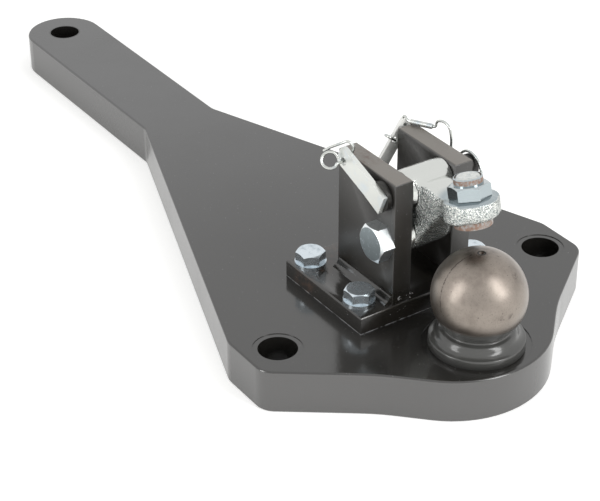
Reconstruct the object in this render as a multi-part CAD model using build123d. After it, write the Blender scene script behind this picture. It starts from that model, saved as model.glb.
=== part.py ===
"""Hitch mounting plate: a thick arm plate with a tow ball and a bolted clevis bracket.

Millimetres. The origin lies on the axis of the tow ball, in the underside of the plate.
+X runs from the end of the arm towards the ball, +Z is up, and the plate is symmetric
about Y = 0. "Near" pieces lie at -Y and "far" pieces at +Y.
"""

from build123d import *
import os
from math import cos, radians, sin, sqrt, tan

# Plate outline
PLATE_T = 25.0              # thickness
ARM_W = 50.0                # width of the arm, which ends in a half circle
ARM_HOLE_X = -456.0         # hole at the end of the arm
ARM_HOLE_R = 9.75
BEND_X = -300.5             # where the arm starts to flare
BEND_R = 12.0
WIDE_X = -72.0              # where the flare meets the straight sides
WIDE_R = 14.0
HALF_W = 106.5              # half the full width
CORNER_X = -39.5            # front corner, before its radius
CORNER_R = 12.0
SHOULDER_X = -4.5           # hollow between the corner and the lobe under the ball
SHOULDER_Y = 59.0
SHOULDER_R = 120.0
LOBE_FRONT_X = 31.5         # front of the lobe
LOBE_R = 56.0
PLATE_EDGE_R = 1.2          # rounded edges of the plate

# Fixing holes through the plate
FIX_X = -53.0
FIX_Y = 88.0
FIX_R = 10.5
SEAT_R = 13.4               # shallow machined seats round the fixing holes
SEAT_DEPTH = 0.4

# Tow ball
BALL_R = 25.0
BALL_Z = 54.0               # height of the ball's centre above the underside
COLLAR_R = 25.3
COLLAR_H = 4.4              # straight side of the collar
COLLAR_EDGE = 0.8
NECK_Z = 34.0               # where the collar's cone meets the neck
NECK_R = 16.6
STUD_R = 11.0
STUD_END = 1.0              # the stud stops above the underside
BALL_SEAT_R = 28.7          # shallow machined seat under the collar
DIMPLE_R = 1.6              # centre-drill mark on top of the ball
DIMPLE_DEPTH = 1.4

# Clevis bracket
BASE_X0 = -108.0
BASE_X1 = -38.2
BASE_HALF_W = 46.2
BASE_T = 10.0
CHEEK_X0 = -89.6
CHEEK_X1 = -40.0
CHEEK_TOP = 106.3           # above the plate's underside
CHEEK_GAP = 27.0            # clear width between the cheeks
CHEEK_T = 11.2
PLATE_BREAK = 0.6           # broken edges of the bracket's plates
WELD_LEG = 3.6
WELD_END = 1.5              # weld beads stop short of the cheek's ends
WELD_FULLNESS = 0.6         # bulge of the bead, as a share of its leg

# Bolts that hold the bracket
BOLT_R = 4.75
BOLT_HEAD_AF = 14.3
BOLT_HEAD_H = 6.0
BOLT_REACH = 18.0           # thread inside the plate
BOLT_X = {"rear": -97.5, "front": -52.3}
BOLT_Y = 37.3
WASHER_R = 8.65
WASHER_T = 2.4
WASHER_SPLIT = 1.6          # cut in a spring washer
SPLIT_TURN = 200.0          # direction of that cut
TAP_EXTRA = 2.0             # tapped hole beyond the bolt's end

# Swivel casting, drawn in a tilted frame about the cross bolt
PIVOT_X = -50.0
PIVOT_Z = 70.0
TILT = 15.2                 # the eye's front edge is raised by this angle
PIN_RISE = 26.5             # lock pin above the cross bolt
BARREL_R = 10.2
BARREL_CLEAR = 0.15         # between the barrels' ends and the cheeks
ARM_HALF_T = 10.0           # the arm is thinner than the barrels are wide
EYE_U = 46.8                # eye centre, forward of the cross bolt
EYE_W = 19.1                # and above it, along the eye's axis
EYE_R = 14.8
EYE_H = 11.5
ARM_TOP_U = 20.5            # upper edge of the casting's arm, where it leaves the barrel
ARM_TOP_W = 29.6
ROOT_TOP_U = 33.0           # where the upper edge meets the eye
ROOT_LOW_U = 32.3           # where the lower edge meets the eye
ARM_LOW_U = 22.0            # lower edge of the arm
ARM_LOW_W = 6.3
ARM_FOOT_U = 6.0            # where the lower edge leaves the barrel
ARM_FOOT_W = -8.2
ARM_BEND_R = 6.0
EYE_NECK_R = 4.0            # hollow between arm and eye
CAST_EDGE = 2.0             # rounded rims of the casting

# Cross bolt, lock pin and eye bolt share one shank size
SHANK_D = 12.7
PIN_CLEAR = 0.3             # lock pin in its holes
BOLT_CLEAR = 0.2            # bolts in plain holes
THREAD_FIT = 0.05           # threads in nuts and tapped holes
HEX_FACE_SHARE = 0.95       # bevel circle of a hexagon, as a share of its width
HEX_BEVEL = 30.0
NUT_AF = 19.0
NUT_HEX_H = 7.0
NUT_COLLAR_R = 7.6
NUT_COLLAR_H = 3.8
NUT_WALL = 0.5              # wall of the collar round its locking ring
NUT_LIP = 0.4               # lip rolled over the locking ring
NUT_RING_T = 2.2
BOLT_PROUD = 0.4            # bolt's end past its nut
EYE_NUT_TURN = 50.0         # hexagon turned on the eye
CROSS_HEAD_TURN = 3.0       # and on the near cheek
BOLT_TIP = 0.8              # bevel at a bolt's end
CROSS_HEAD_H = 7.9
EYE_HEAD_R = 9.8
EYE_HEAD_H = 3.4

# Lock pin and its flat handle
PIN_HEAD_R = 8.2
PIN_HEAD_T = 3.0
PIN_STUB = 8.5              # pin past the far cheek
PIN_TIP = 1.2
SEAT_GAP = 0.3              # pieces of different bodies that rest on each other
HANDLE_W = 11.8
HANDLE_T = 2.4
HANDLE_FRONT = 5.9          # handle ahead of the pin's axis
HANDLE_BACK = 33.0          # handle behind the pin's axis
HANDLE_RISE = 23.0          # slope of the handle
HANDLE_LEAN = 2.5           # outward bend behind the pin's head
HANDLE_HOLE = 28.0          # ring hole, behind the pin's axis
HANDLE_HOLE_SIDE = 1.6      # and below the handle's middle
HANDLE_HOLE_R = 2.3
HANDLE_TIP_R = 3.0

# Rings, wires and the tab behind the bracket
WIRE_R = 0.75
WIRE_FIT = 0.1              # sleeve round its wire
COIL_R = 4.3                # coil before the handle
COIL_TURN = 300.0
COIL_PITCH = 2.2
COIL_STEP = 30.0
COIL_START = -50.0
COIL_SPOT = (-2.7, -6.5, 1.6)       # coil's centre from the handle's hole
COIL_AXIS = (0.71, -0.47, 0.53)
LEG_OUT = 4.5               # wire leg before the handle
OVER_TIP = (                # wire's free end and its way over the handle's tip, from the hole
    (-13.7, -2.8, 1.0), (-9.6, -1.6, 4.6), (-0.7, -1.4, 10.6), (2.8, 1.0, 13.2),
)
TIP_X = 4.8                 # where that wire comes down behind the handle
TIP_Z = 9.6
TAB_W = 7.4
TAB_T = 2.0
TAB_LEN = 56.0
TAB_TOP_Y = 21.4
TAB_TOP_Z = 107.2
TAB_LEAN = 35.5             # from the vertical, towards the near side
TAB_EYE = 2.4               # small eye below the tab's upper end
TAB_EYE_R = 1.3
TAB_HOLE = 12.0             # ring hole below the tab's upper end
TAB_HOLE_SIDE = 1.0         # and off the tab's middle, towards the near side
TAB_HOLE_R = 1.9
LINK_LEN = 5.8              # wire link through that hole, across the tab
LINK_BEND = 1.3
SLEEVE_R = 1.5
SLEEVE_LEN = 12.7
SLEEVE_TURN = 30.0          # direction of the sleeve, seen from above
MOUTH_RUN = 1.9             # straight wire at each end of the sleeve
HOOK_RISE = (1.4, 4.9)      # wire behind the tab's eye, across and up
SLEEVE_SPOT = (-88.8, 21.3)         # rear end of the sleeve, on the far cheek's top edge
ARCH = (                    # wire from the sleeve over the far cheek
    (-76.2, 28.9, 111.8), (-71.0, 29.2, 113.9), (-66.0, 29.5, 112.4),
    (-64.2, 29.7, 106.6), (-64.6, 29.9, 100.4),
)
LOOP_R = 10.0               # wire loop hung on the end of the lock pin
LOOP_Y = 30.1               # first turn of the loop
LOOP_PITCH = 2.0
LOOP_START = 165.0
LOOP_TURN = 405.0
LOOP_STEP = 45.0
BEND_SHARE = 0.45           # share of the shorter run that a bend in a wire takes

# Places that follow from the sizes above
BASE_TOP = PLATE_T + BASE_T
CHEEK_IN = CHEEK_GAP / 2
CHEEK_OUT = CHEEK_IN + CHEEK_T
SHANK_R = SHANK_D / 2
PIN_Z = PIVOT_Z + PIN_RISE
PIN_HOLE_R = SHANK_R + PIN_CLEAR
BOLT_HOLE_R = SHANK_R + BOLT_CLEAR
NUT_BORE_R = SHANK_R + THREAD_FIT
NUT_H = NUT_HEX_H + NUT_COLLAR_H
SIDES = {"near": -1, "far": 1}
HANDLE_IN = CHEEK_OUT + SEAT_GAP + PIN_HEAD_T
LINK_OUT = TAB_T / 2 + SEAT_GAP + WIRE_R
TAB_X = CHEEK_X0 - 2 * SEAT_GAP - WIRE_R - LINK_OUT
SLEEVE_Z = CHEEK_TOP + SEAT_GAP + SLEEVE_R
LOOP_Z = PIN_Z + SHANK_R + SEAT_GAP - (LOOP_R - WIRE_R)

TILTED = Plane(
    origin=(PIVOT_X, 0, PIVOT_Z),
    x_dir=(cos(radians(TILT)), 0, sin(radians(TILT))),
    z_dir=(0, -1, 0),
)


def disc(radius, height, z0=0.0):
    """A cylinder whose lower face is at z0."""
    return Pos(0, 0, z0) * Cylinder(radius, height, align=(Align.CENTER, Align.CENTER, Align.MIN))


def ring(outer_r, inner_r, height, z0=0.0):
    return disc(outer_r, height, z0) - disc(inner_r, height, z0)


def turned(*profile):
    """A solid of revolution about Z from (radius, height) points."""
    return revolve(Plane.XZ * make_face(Polyline(*profile, close=True)), Axis.Z)


def facing_y(x, z, y, sign):
    """A frame at (x, y, z) whose Z axis points along +Y or -Y."""
    return Plane(origin=(x, y, z), x_dir=(1, 0, 0), z_dir=(0, sign, 0)).location


def rod(radius, length, tip):
    """A rod from z = 0 upwards, bevelled at its upper end."""
    return turned((0, 0), (radius, 0), (radius, length - tip), (radius - tip, length), (0, length))


def hexagon(across_flats, height):
    """A hexagon whose corners are bevelled at its upper end, as on a bolt head."""
    corner_r = across_flats / sqrt(3)
    face_r = across_flats * HEX_FACE_SHARE / 2
    drop = (corner_r - face_r) * tan(radians(HEX_BEVEL))
    envelope = turned((0, 0), (corner_r, 0), (corner_r, height - drop), (face_r, height), (0, height))
    return extrude(RegularPolygon(corner_r, 6), height) & envelope


def plate_outline():
    """Upper half of the plate's outline, mirrored: arm, flare, corner, hollow and lobe."""
    half_arm = ARM_W / 2
    lobe_c = LOBE_FRONT_X - LOBE_R
    upper = [
        ((BEND_X, half_arm), BEND_R),
        ((WIDE_X, HALF_W), WIDE_R),
        ((CORNER_X, HALF_W), CORNER_R),
        ((SHOULDER_X, SHOULDER_Y), SHOULDER_R),
    ]
    dx = SHOULDER_X - lobe_c
    reach = sqrt(dx**2 + SHOULDER_Y**2 - LOBE_R**2)
    dist2 = dx**2 + SHOULDER_Y**2
    touch_x = lobe_c + LOBE_R * (LOBE_R * dx + reach * SHOULDER_Y) / dist2
    touch_y = LOBE_R * (LOBE_R * SHOULDER_Y - reach * dx) / dist2
    points = [(ARM_HOLE_X, half_arm)] + [p for p, r in upper] + [(touch_x, touch_y)]
    side = FilletPolyline(*points, radius=[r for p, r in upper])
    lobe = ThreePointArc((touch_x, touch_y), (LOBE_FRONT_X, 0), (touch_x, -touch_y))
    end = ThreePointArc(
        (ARM_HOLE_X, -half_arm), (ARM_HOLE_X - half_arm, 0), (ARM_HOLE_X, half_arm)
    )
    return make_face(side + lobe + mirror(side, about=Plane.XZ) + end)


def hitch_plate():
    body = extrude(plate_outline(), PLATE_T)
    rims = body.faces().sort_by(Axis.Z)[-1].edges() + body.faces().sort_by(Axis.Z)[0].edges()
    body = fillet(rims, PLATE_EDGE_R)
    body -= Pos(ARM_HOLE_X, 0, 0) * disc(ARM_HOLE_R, PLATE_T)
    seat_z = PLATE_T - SEAT_DEPTH
    for sign in SIDES.values():
        spot = Pos(FIX_X, sign * FIX_Y, 0)
        body -= spot * disc(FIX_R, PLATE_T)
        body -= spot * disc(SEAT_R, SEAT_DEPTH, seat_z)
    body -= disc(BALL_SEAT_R, SEAT_DEPTH, seat_z)
    body -= disc(STUD_R + THREAD_FIT, PLATE_T)
    depth = BOLT_REACH + TAP_EXTRA
    for x in BOLT_X.values():
        for sign in SIDES.values():
            hole = disc(BOLT_R + THREAD_FIT, depth, PLATE_T - depth)
            body -= Pos(x, sign * BOLT_Y, 0) * hole
    return body


def tow_ball():
    """Ball, neck, collar and threaded stud, turned from one piece."""
    seat_z = PLATE_T - SEAT_DEPTH
    rim_z = PLATE_T + COLLAR_H
    body = turned(
        (0, STUD_END), (STUD_R, STUD_END), (STUD_R, seat_z), (COLLAR_R, seat_z),
        (COLLAR_R, rim_z - COLLAR_EDGE), (COLLAR_R - COLLAR_EDGE, rim_z),
        (NECK_R + COLLAR_EDGE, NECK_Z - COLLAR_EDGE), (NECK_R, NECK_Z), (NECK_R, BALL_Z), (0, BALL_Z),
    )
    body += Pos(0, 0, BALL_Z) * Sphere(BALL_R)
    top = BALL_Z + BALL_R
    return body - turned((0, top - DIMPLE_DEPTH), (DIMPLE_R, top), (0, top))


def bracket_base():
    width = 2 * BASE_HALF_W
    mid_x = (BASE_X0 + BASE_X1) / 2
    block = Pos(mid_x, 0, PLATE_T + BASE_T / 2) * Box(BASE_X1 - BASE_X0, width, BASE_T)
    block = chamfer(block.faces().sort_by(Axis.Z)[-1].edges(), PLATE_BREAK)
    for x in BOLT_X.values():
        for sign in SIDES.values():
            block -= Pos(x, sign * BOLT_Y, 0) * disc(BOLT_R + BOLT_CLEAR, BASE_T, PLATE_T)
    return block


def cheek(sign):
    """One upright plate with the holes for the cross bolt and the lock pin."""
    height = CHEEK_TOP - BASE_TOP
    mid = ((CHEEK_X0 + CHEEK_X1) / 2, sign * (CHEEK_IN + CHEEK_T / 2), BASE_TOP + height / 2)
    block = Pos(*mid) * Box(CHEEK_X1 - CHEEK_X0, CHEEK_T, height)
    block = chamfer(block.faces().sort_by(Axis.Z)[-1].edges(), PLATE_BREAK)
    for z, radius in ((PIVOT_Z, BOLT_HOLE_R), (PIN_Z, PIN_HOLE_R)):
        block -= facing_y(PIVOT_X, z, sign * CHEEK_IN, sign) * disc(radius, CHEEK_T)
    return block


def weld(sign):
    """A rounded fillet weld along the outer foot of a cheek."""
    run = CHEEK_X1 - CHEEK_X0 - 2 * WELD_END
    throat = WELD_LEG * WELD_FULLNESS
    section = make_face(
        Polyline((0, WELD_LEG), (0, 0), (WELD_LEG, 0))
        + ThreePointArc((WELD_LEG, 0), (throat, throat), (0, WELD_LEG))
    )
    foot = Plane(origin=(CHEEK_X0 + WELD_END, CHEEK_OUT, BASE_TOP), x_dir=(0, 1, 0), z_dir=(1, 0, 0))
    bead = extrude(foot * section, run)
    return bead if sign > 0 else mirror(bead, about=Plane.XZ)


def bracket_bolt():
    """Hex bolt with its head's underside at z = 0."""
    length = WASHER_T + BASE_T + BOLT_REACH
    return hexagon(BOLT_HEAD_AF, BOLT_HEAD_H) + Rot(180, 0, 0) * rod(BOLT_R, length, BOLT_TIP)


def spring_washer():
    bore = BOLT_R + BOLT_CLEAR
    cut = Pos((WASHER_R + bore) / 2, 0, WASHER_T / 2) * Box(WASHER_R, WASHER_SPLIT, 2 * WASHER_T)
    return ring(WASHER_R, bore, WASHER_T) - cut


def lock_nut():
    """Hexagon with a round collar, and the plastic ring that the collar holds."""
    lip_z = NUT_H - NUT_LIP
    pocket_r = NUT_COLLAR_R - NUT_WALL
    collar = turned(
        (0, NUT_HEX_H), (NUT_COLLAR_R, NUT_HEX_H), (NUT_COLLAR_R, lip_z),
        (NUT_COLLAR_R - NUT_LIP, NUT_H), (0, NUT_H),
    )
    nut = hexagon(NUT_AF, NUT_HEX_H) + collar - disc(NUT_BORE_R, NUT_H)
    nut -= disc(pocket_r, NUT_RING_T, lip_z - NUT_RING_T)
    nut -= disc(pocket_r - NUT_LIP / 2, NUT_LIP, lip_z)
    return nut, ring(pocket_r, NUT_BORE_R, NUT_RING_T, lip_z - NUT_RING_T)


def cross_bolt():
    """Bolt through both cheeks and the casting, with its head on the near cheek."""
    length = 2 * CHEEK_OUT + NUT_H + BOLT_PROUD
    head = Rot(0, 0, CROSS_HEAD_TURN) * hexagon(NUT_AF, CROSS_HEAD_H)
    bolt = head + Rot(180, 0, 0) * rod(SHANK_R, length, BOLT_TIP)
    return facing_y(PIVOT_X, PIVOT_Z, -CHEEK_OUT, -1) * bolt


def eye_frame(w):
    """A frame on the eye's axis at height w of the casting, with Z along that axis."""
    centre = TILTED.from_local_coords((EYE_U, w, 0))
    return Plane(origin=centre, x_dir=TILTED.x_dir, z_dir=TILTED.y_dir).location


def eye_blank():
    """The eye and the end of the arm, seen from above, with a hollow at each side of the neck."""
    root_len = EYE_U - ROOT_TOP_U
    plan = Circle(EYE_R) + Pos(-root_len / 2, 0) * Rectangle(root_len, 2 * ARM_HALF_T)
    necks = plan.vertices().group_by(Axis.X)[1]
    return extrude(fillet(necks, EYE_NECK_R), EYE_H)


def swivel_casting():
    """Two barrels between the cheeks, joined by an arm that ends in the flat eye."""
    pin = (PIN_RISE * sin(radians(TILT)), PIN_RISE * cos(radians(TILT)))
    low, top = EYE_W - EYE_H / 2, EYE_W + EYE_H / 2
    side = make_face(Polyline(
        (0, 0), pin, (ARM_TOP_U, ARM_TOP_W), (ROOT_TOP_U, top), (EYE_U, top),
        (EYE_U, low), (ROOT_LOW_U, low), (ARM_LOW_U, ARM_LOW_W), (ARM_FOOT_U, ARM_FOOT_W), close=True,
    ))
    bends = [v for v in side.vertices() if v.X in (ROOT_TOP_U, ROOT_LOW_U)]
    side = fillet(bends, ARM_BEND_R)
    body = extrude(TILTED * side, ARM_HALF_T, both=True) + eye_frame(low) * eye_blank()
    eye_axis = Axis((0, 0, 0), TILTED.y_dir)
    flats = body.faces().filter_by(Axis.Y) + body.faces().filter_by(eye_axis)
    rims = flats.edges() - flats.edges().filter_by(Axis.Y) - flats.edges().filter_by(eye_axis)
    body = fillet(rims, CAST_EDGE)
    width = 2 * (CHEEK_IN - BARREL_CLEAR)
    for z, bore in ((PIVOT_Z, BOLT_HOLE_R), (PIN_Z, PIN_HOLE_R)):
        spot = facing_y(PIVOT_X, z, -width / 2, 1)
        barrel = disc(BARREL_R, width)
        body += spot * fillet(barrel.edges().filter_by(GeomType.CIRCLE), CAST_EDGE)
    for z, bore in ((PIVOT_Z, BOLT_HOLE_R), (PIN_Z, PIN_HOLE_R)):
        body -= facing_y(PIVOT_X, z, -width / 2, 1) * disc(bore, width)
    return body - eye_frame(low) * disc(BOLT_HOLE_R, EYE_H)


def eye_bolt():
    """Upright bolt in the eye, with a thin round head below."""
    head = disc(EYE_HEAD_R, EYE_HEAD_H, -EYE_HEAD_H)
    return head + rod(SHANK_R, EYE_H + NUT_H + BOLT_PROUD, BOLT_TIP)


def lock_pin():
    """Plain pin with a round head, drawn from the near side."""
    length = SEAT_GAP + 2 * CHEEK_OUT + PIN_STUB
    pin = disc(PIN_HEAD_R, PIN_HEAD_T) + Rot(180, 0, 0) * rod(SHANK_R, length, PIN_TIP)
    return facing_y(PIVOT_X, PIN_Z, -CHEEK_OUT - SEAT_GAP, -1) * pin


def handle_frame():
    """Origin on the pin's axis in the handle's inner face; X runs back along the handle, Z outwards."""
    back = (-cos(radians(HANDLE_RISE)), 0, sin(radians(HANDLE_RISE)))
    return Plane(origin=(PIVOT_X, -HANDLE_IN, PIN_Z), x_dir=back, z_dir=(0, -1, 0))


def lock_pin_handle():
    """Flat strip across the pin's head, bent slightly outwards behind it."""
    bend = PIN_HEAD_R
    lift = (HANDLE_BACK - bend) * tan(radians(HANDLE_LEAN))
    edge = Polyline(
        (-HANDLE_FRONT, 0), (bend, 0), (HANDLE_BACK, lift), (HANDLE_BACK, lift + HANDLE_T),
        (bend, HANDLE_T), (-HANDLE_FRONT, HANDLE_T), close=True,
    )
    strip = extrude(Plane.XZ * make_face(edge), HANDLE_W / 2, both=True)
    length = HANDLE_FRONT + HANDLE_BACK
    blank = Pos(HANDLE_BACK - length / 2, 0) * Rectangle(length, HANDLE_W)
    tips = blank.vertices().group_by(Axis.X)[-1]
    outline = fillet(tips, HANDLE_TIP_R) - Pos(HANDLE_HOLE, HANDLE_HOLE_SIDE) * Circle(HANDLE_HOLE_R)
    return handle_frame().location * (strip & extrude(outline, lift + HANDLE_T))


def bend_radii(points):
    """The largest arc that the two runs at each corner allow."""
    radii = []
    for before, corner, after in zip(points, points[1:], points[2:]):
        arrive = Vector(corner) - Vector(before)
        leave = Vector(after) - Vector(corner)
        turn = radians(arrive.get_angle(leave))
        radii.append(BEND_SHARE * min(arrive.length, leave.length) / tan(turn / 2))
    return radii


def wire(points, radius=WIRE_R):
    """A round wire along straight runs joined by tangent arcs."""
    path = FilletPolyline(*points, radius=bend_radii(points))
    return sweep(Plane(origin=path @ 0, z_dir=path % 0) * Circle(radius), path=path)


def handle_hole():
    """Where the axis of the ring hole meets the handle's outer face."""
    lift = (HANDLE_HOLE - PIN_HEAD_R) * tan(radians(HANDLE_LEAN))
    return handle_frame().from_local_coords((HANDLE_HOLE, HANDLE_HOLE_SIDE, lift + HANDLE_T))


def coil(frame, radius, start, turn, pitch, step):
    """Corner points of a coil about the Z axis of a frame; angles in degrees."""
    corner_r = radius / cos(radians(step / 2))
    count = int(abs(turn) / step)
    points = []
    for k in range(count + 1):
        angle = radians(start + turn * k / count)
        spot = (corner_r * cos(angle), corner_r * sin(angle), pitch * k / count)
        points.append(frame.from_local_coords(spot))
    return points


def handle_wire():
    """From its free end over the handle's tip, back through the hole and into a coil."""
    hole = handle_hole()
    behind = HANDLE_T + SEAT_GAP + WIRE_R
    over_tip = [*OVER_TIP, (TIP_X, behind, TIP_Z), (0, behind, 0), (0, -LEG_OUT, 0)]
    frame = Plane(origin=hole + Vector(COIL_SPOT), x_dir=(0.56, 0.83, 0), z_dir=COIL_AXIS)
    turns = coil(frame, COIL_R, COIL_START, -COIL_TURN, -COIL_PITCH, COIL_STEP)
    return wire([hole + Vector(p) for p in over_tip] + turns)


def tab_frame():
    """Origin at the middle of the tab's upper end; Y runs up along the tab, Z towards +X."""
    lean = radians(TAB_LEAN)
    x_dir = (0, cos(lean), -sin(lean))
    return Plane(origin=(TAB_X, TAB_TOP_Y, TAB_TOP_Z), x_dir=x_dir, z_dir=(1, 0, 0))


def far_tab():
    """Flat tab that leans behind the cheeks, with an eye for its tether and a ring hole."""
    outline = Pos(0, -TAB_LEN / 2) * Rectangle(TAB_W, TAB_LEN)
    outline -= Pos(0, -TAB_EYE) * Circle(TAB_EYE_R)
    outline -= Pos(-TAB_HOLE_SIDE, -TAB_HOLE) * Circle(TAB_HOLE_R)
    return extrude(tab_frame() * outline, TAB_T / 2, both=True)


def far_tab_link():
    """Closed wire link through the tab's hole and round its near edge."""
    near_x = -TAB_HOLE_SIDE - LINK_LEN
    corners = [(-TAB_HOLE_SIDE, LINK_OUT), (-TAB_HOLE_SIDE, -LINK_OUT), (near_x, -LINK_OUT), (near_x, LINK_OUT)]
    points = [tab_frame().from_local_coords((x, -TAB_HOLE, z)) for x, z in corners]
    path = FilletPolyline(*points, radius=LINK_BEND, close=True)
    return sweep(Plane(origin=path @ 0, z_dir=path % 0) * Circle(WIRE_R), path=path)


def sleeve_frame():
    turn = radians(SLEEVE_TURN)
    return Plane(
        origin=(*SLEEVE_SPOT, SLEEVE_Z), x_dir=(0, 0, 1), z_dir=(cos(turn), sin(turn), 0)
    )


def tether_sleeve():
    return sleeve_frame().location * ring(SLEEVE_R, WIRE_R + WIRE_FIT, SLEEVE_LEN)


def tether_wire():
    """Through the tab's eye and the sleeve, over the far cheek and round the end of the pin."""
    eye = tab_frame().from_local_coords((0, -TAB_EYE, TAB_T / 2))
    mouths = [sleeve_frame().from_local_coords((0, 0, z)) for z in (-MOUTH_RUN, SLEEVE_LEN + MOUTH_RUN)]
    behind = TAB_T + SEAT_GAP + WIRE_R
    hook = [eye, eye + Vector(-behind, 0, 0), eye + Vector(-behind, *HOOK_RISE)]
    frame = Plane(origin=(PIVOT_X, LOOP_Y, LOOP_Z), x_dir=(1, 0, 0), z_dir=(0, 1, 0))
    loop = coil(frame, LOOP_R, LOOP_START, -LOOP_TURN, LOOP_PITCH, LOOP_STEP)
    return wire(hook + mouths + list(ARCH) + loop)


def build_parts():
    parts = {
        "hitch_plate": hitch_plate(),
        "tow_ball": tow_ball(),
        "bracket_base": bracket_base(),
        "cross_bolt": cross_bolt(),
        "swivel_casting": swivel_casting(),
        "eye_bolt": eye_frame(EYE_W - EYE_H / 2) * eye_bolt(),
        "lock_pin": lock_pin(),
        "lock_pin_handle": lock_pin_handle(),
        "handle_wire": handle_wire(),
        "far_tab": far_tab(),
        "far_tab_link": far_tab_link(),
        "tether_sleeve": tether_sleeve(),
        "tether_wire": tether_wire(),
    }
    nut, insert = lock_nut()
    nut_seats = {
        "cross": facing_y(PIVOT_X, PIVOT_Z, CHEEK_OUT, 1),
        "eye": eye_frame(EYE_W + EYE_H / 2) * Rot(0, 0, EYE_NUT_TURN),
    }
    for label, seat in nut_seats.items():
        parts[f"{label}_nut"] = seat * nut
        parts[f"{label}_nut_ring"] = seat * insert
    for name, sign in SIDES.items():
        parts[f"{name}_cheek"] = cheek(sign)
        parts[f"weld_{name}"] = weld(sign)
        for end, x in BOLT_X.items():
            seat = Pos(x, sign * BOLT_Y, BASE_TOP)
            parts[f"spring_washer_{end}_{name}"] = seat * Rot(0, 0, SPLIT_TURN) * spring_washer()
            parts[f"bracket_bolt_{end}_{name}"] = seat * Pos(0, 0, WASHER_T) * bracket_bolt()
    return parts


os.makedirs("parts", exist_ok=True)
for node, shape in build_parts().items():
    export_step(shape, f"parts/{node}.step")
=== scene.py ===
from math import cos, pi, radians, sin

import bmesh
import bpy
import numpy as np
from mathutils import Matrix, Vector


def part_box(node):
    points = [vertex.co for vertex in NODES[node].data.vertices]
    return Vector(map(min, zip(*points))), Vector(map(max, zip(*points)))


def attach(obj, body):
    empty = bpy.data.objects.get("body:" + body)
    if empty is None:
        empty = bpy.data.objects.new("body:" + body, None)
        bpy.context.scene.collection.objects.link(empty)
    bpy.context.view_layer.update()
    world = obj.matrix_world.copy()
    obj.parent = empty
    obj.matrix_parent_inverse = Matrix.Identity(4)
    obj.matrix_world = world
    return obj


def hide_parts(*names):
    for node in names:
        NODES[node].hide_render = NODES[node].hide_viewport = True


bl_info = {
    "name": "Hitch mounting plate",
    "version": (1, 0, 0),
    "blender": (4, 5, 0),
    "location": "View3D > Sidebar > Hitch",
    "description": "Finishes a hitch mounting plate with a tow ball and a clevis bracket",
    "category": "Object",
}

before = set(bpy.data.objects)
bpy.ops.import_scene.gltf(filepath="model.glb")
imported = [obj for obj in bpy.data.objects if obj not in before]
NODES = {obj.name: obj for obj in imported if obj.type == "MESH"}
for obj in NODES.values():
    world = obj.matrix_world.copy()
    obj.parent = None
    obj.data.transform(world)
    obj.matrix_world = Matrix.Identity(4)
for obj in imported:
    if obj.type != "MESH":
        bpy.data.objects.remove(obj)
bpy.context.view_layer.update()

MERGE = 1e-6                # corners of a CAD mesh closer than this are one
SHARP = radians(35)         # steeper edges than this stay sharp
FINE_GRAIN = 0.0009         # size of the grain in plating and of the specks in paint
FLAT = (1, 1, 0)            # leaves height out of a distance
WHITE = (1, 1, 1)


def srgb(red, green, blue):
    """A colour as a screen shows it, 0 to 255, as Blender's linear colour."""
    channels = []
    for value in (red, green, blue):
        c = value / 255
        channels.append(c / 12.92 if c <= 0.04045 else ((c + 0.055) / 1.055) ** 2.4)
    return tuple(channels)


def colour_property(name, description, red, green, blue):
    """A colour that a user can change, given as a screen shows it."""
    return bpy.props.FloatVectorProperty(
        name=name, description=description, default=srgb(red, green, blue),
        subtype="COLOR", size=3, min=0, max=1,
    )


def length_property(name, description, default):
    """A length that a user can change, in metres."""
    return bpy.props.FloatProperty(
        name=name, description=description, default=default, unit="LENGTH", min=0, precision=5
    )


class PaintLook(bpy.types.PropertyGroup):
    """Dark glossy paint of the plate and the bracket."""
    plate: colour_property("Plate paint", "Paint on the plate's arm", 76, 76, 76)
    # Darker tone of the paint's random clouds, and the painted shade that darkens the plate
    # towards the ball.
    plate_shade_and_mottle: colour_property("Plate shade", "The same paint towards the ball", 42, 41, 39)
    # Painted light: lighter paint on the plate's sides, standing in for the light that falls on
    # them.
    side_light_paint: colour_property("Plate edge", "Thinner paint round the plate's edge", 76, 75, 74)
    # Painted shade: dark colour on the walls inside the holes.
    hole: colour_property("Hole wall", "Thin paint inside the holes", 30, 29, 27)
    bracket: colour_property("Bracket paint", "Paint on the bracket", 38, 36, 32)
    bracket_dark: colour_property("Bracket shade", "Darker patches on the bracket", 28, 26, 23)
    # Painted highlight: lighter paint on the cheeks' upward faces.
    top: colour_property("Upper edges", "Paint on the upper edges of the cheeks", 116, 111, 104)
    stain: colour_property("Stain", "Brown stain beside bolts and edges", 88, 66, 54)
    # Bare metal of the specks, and the colour of the painted highlight along the base's foot.
    worn: colour_property("Worn metal", "Bare metal at specks and edges", 196, 198, 200)
    gloss: bpy.props.FloatProperty(
        name="Gloss", description="Refraction of the paint's clear skin",
        default=1.8, min=1.0, max=3.0,
    )
    edge: length_property("Edge radius", "Rounding of the bracket's edges", 0.0006)


class BallLook(bpy.types.PropertyGroup):
    """Bare steel of the tow ball above its painted neck."""
    bare: colour_property("Bare ball", "Turned steel of the ball", 145, 136, 127)
    warm: colour_property("Warm tint", "Brownish patches on the ball", 118, 109, 101)
    # Also the colour of the painted shade on the ball's lower half.
    smudge_and_shade: colour_property("Smudge", "Dark smudges on the ball", 58, 46, 38)
    neck: colour_property("Neck paint", "Dark paint on neck and collar", 68, 68, 66)
    paint_top: length_property("Paint line", "Height where the dark paint ends", 0.0436)


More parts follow.
